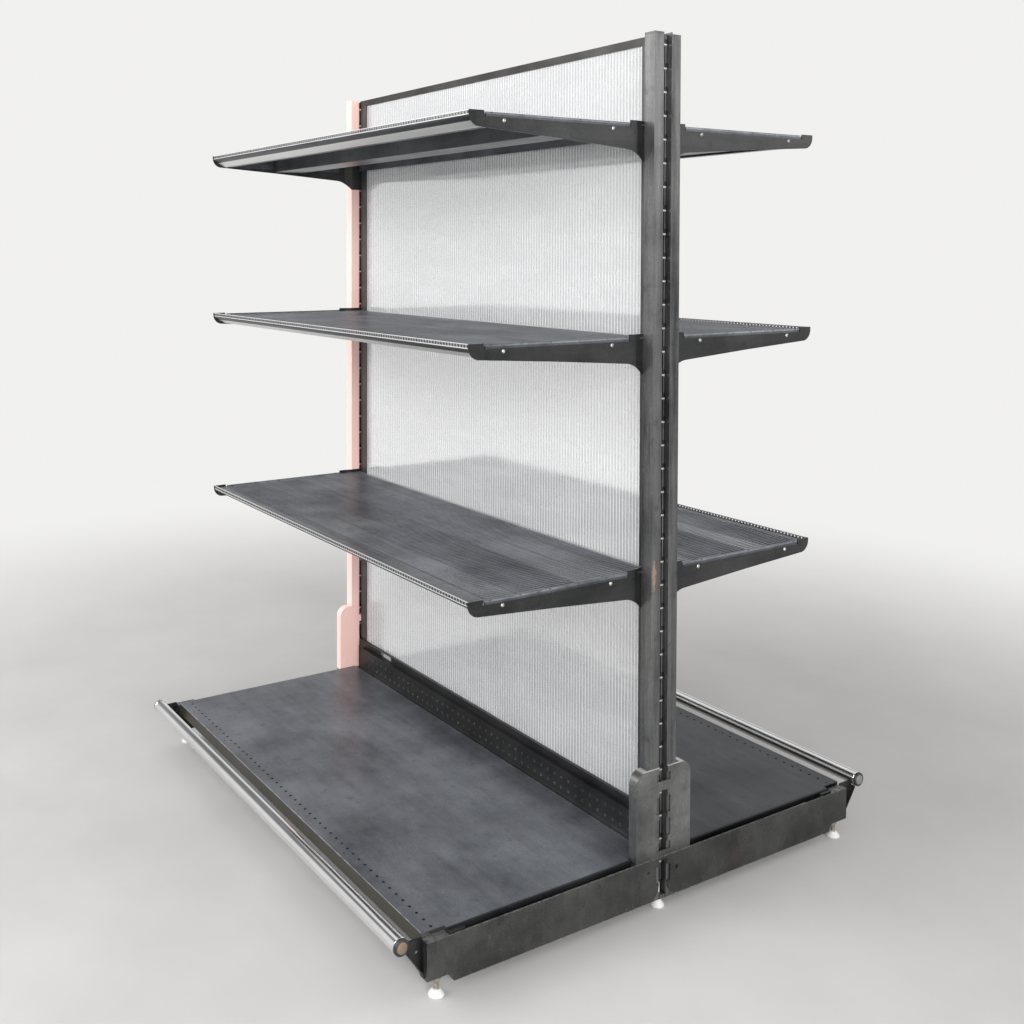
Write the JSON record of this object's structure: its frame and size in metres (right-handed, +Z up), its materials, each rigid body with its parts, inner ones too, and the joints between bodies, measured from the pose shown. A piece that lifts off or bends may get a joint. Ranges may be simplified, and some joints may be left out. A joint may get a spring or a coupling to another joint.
{
  "type": "gondola shelving",
  "caption": "Two-sided free-standing gondola shelving bay with slotted uprights, fluted panel, hook-on shelves, base decks and bumper tubes.",
  "frame": {"origin": "on the floor, under the middle of the bay", "axes": "+X along the bay towards the near upright, +Y towards the back side, +Z up"},
  "size_m": [1.3192, 1.351, 1.872],
  "materials": {
    "blackened_steel": "satin clear coat over blackened steel",
    "shelf_steel": "satin clear coat, slotted sheet",
    "deck_steel": "semi-gloss clear coat over mill scale",
    "rail_steel": "satin clear coat over bright steel",
    "rose_paint": "matt pale rose",
    "fluted_polycarbonate": "clear twin-wall sheet",
    "bumper_chrome": "polished",
    "black_plastic": "moulded",
    "white_plastic": "moulded",
    "zinc_steel": "zinc plated",
    "screw_steel": "zinc plated"
  },
  "bodies": {
    "frame": {"upright_near": "blackened_steel", "upright_far": "rose_paint", "upright_caps": "blackened_steel", "panel": "fluted_polycarbonate", "top_rail": "rail_steel", "side_strips": "blackened_steel", "panel_channel": "blackened_steel", "cross_beam": "blackened_steel", "riser_strip_front": "blackened_steel", "riser_strip_back": "blackened_steel", "base_rails": "blackened_steel", "bumper_tubes": "bumper_chrome", "bumper_brackets": "blackened_steel", "bumper_caps": "black_plastic", "base_leg_near_front": "blackened_steel", "base_leg_near_back": "blackened_steel", "base_leg_far_front": "blackened_steel", "base_leg_far_back": "blackened_steel"},
    "base_deck_front": {"base_deck_front": "deck_steel"},
    "base_deck_back": {"base_deck_back": "deck_steel"},
    "foot_near_front": {"foot_pad_near_front": "white_plastic", "foot_stud_near_front": "zinc_steel"},
    "foot_near_back": {"foot_pad_near_back": "white_plastic", "foot_stud_near_back": "zinc_steel"},
    "foot_far_front": {"foot_pad_far_front": "white_plastic", "foot_stud_far_front": "zinc_steel"},
    "foot_far_back": {"foot_pad_far_back": "white_plastic", "foot_stud_far_back": "zinc_steel"},
    "middle_foot_near": {"middle_foot_near": "white_plastic"},
    "middle_foot_far": {"middle_foot_far": "white_plastic"},
    "shelf_front_low": {"shelf_front_low_deck": "shelf_steel", "shelf_front_low_bracket_near": "blackened_steel", "shelf_front_low_bracket_far": "blackened_steel", "shelf_front_low_rail": "blackened_steel", "shelf_front_low_screws": "screw_steel"},
    "shelf_front_middle": {"shelf_front_middle_deck": "shelf_steel", "shelf_front_middle_bracket_near": "blackened_steel", "shelf_front_middle_bracket_far": "blackened_steel", "shelf_front_middle_rail": "blackened_steel", "shelf_front_middle_screws": "screw_steel"},
    "shelf_front_top": {"shelf_front_top_deck": "shelf_steel", "shelf_front_top_bracket_near": "blackened_steel", "shelf_front_top_bracket_far": "blackened_steel", "shelf_front_top_rail": "blackened_steel", "shelf_front_top_screws": "screw_steel"},
    "shelf_back_low": {"shelf_back_low_deck": "shelf_steel", "shelf_back_low_bracket_near": "blackened_steel", "shelf_back_low_bracket_far": "blackened_steel", "shelf_back_low_rail": "blackened_steel", "shelf_back_low_screws": "screw_steel"},
    "shelf_back_middle": {"shelf_back_middle_deck": "shelf_steel", "shelf_back_middle_bracket_near": "blackened_steel", "shelf_back_middle_bracket_far": "blackened_steel", "shelf_back_middle_rail": "blackened_steel", "shelf_back_middle_screws": "screw_steel"},
    "shelf_back_top": {"shelf_back_top_deck": "shelf_steel", "shelf_back_top_bracket_near": "blackened_steel", "shelf_back_top_bracket_far": "blackened_steel", "shelf_back_top_rail": "blackened_steel", "shelf_back_top_screws": "screw_steel"}
  },
  "joints": [
    {"name": "shelf_front_low_lift", "type": "slide", "parent": "frame", "child": "shelf_front_low", "axis": [0, 0, 1], "range_m": [0, 0.012]},
    {"name": "shelf_front_middle_lift", "type": "slide", "parent": "frame", "child": "shelf_front_middle", "axis": [0, 0, 1], "range_m": [0, 0.012]},
    {"name": "shelf_front_top_lift", "type": "slide", "parent": "frame", "child": "shelf_front_top", "axis": [0, 0, 1], "range_m": [0, 0.012]},
    {"name": "shelf_back_low_lift", "type": "slide", "parent": "frame", "child": "shelf_back_low", "axis": [0, 0, 1], "range_m": [0, 0.012]},
    {"name": "shelf_back_middle_lift", "type": "slide", "parent": "frame", "child": "shelf_back_middle", "axis": [0, 0, 1], "range_m": [0, 0.012]},
    {"name": "shelf_back_top_lift", "type": "slide", "parent": "frame", "child": "shelf_back_top", "axis": [0, 0, 1], "range_m": [0, 0.012]},
    {"name": "base_deck_front_lift", "type": "slide", "parent": "frame", "child": "base_deck_front", "axis": [0, 0, 1], "range_m": [0, 0.03]},
    {"name": "base_deck_back_lift", "type": "slide", "parent": "frame", "child": "base_deck_back", "axis": [0, 0, 1], "range_m": [0, 0.03]},
    {"name": "foot_near_front_screw", "type": "slide", "parent": "frame", "child": "foot_near_front", "axis": [0, 0, -1], "range_m": [0, 0.012]},
    {"name": "foot_near_back_screw", "type": "slide", "parent": "frame", "child": "foot_near_back", "axis": [0, 0, -1], "range_m": [0, 0.012]},
    {"name": "foot_far_front_screw", "type": "slide", "parent": "frame", "child": "foot_far_front", "axis": [0, 0, -1], "range_m": [0, 0.012]},
    {"name": "foot_far_back_screw", "type": "slide", "parent": "frame", "child": "foot_far_back", "axis": [0, 0, -1], "range_m": [0, 0.012]},
    {"name": "middle_foot_near_screw", "type": "slide", "parent": "frame", "child": "middle_foot_near", "axis": [0, 0, -1], "range_m": [0, 0.012]},
    {"name": "middle_foot_far_screw", "type": "slide", "parent": "frame", "child": "middle_foot_far", "axis": [0, 0, -1], "range_m": [0, 0.012]}
  ]
}
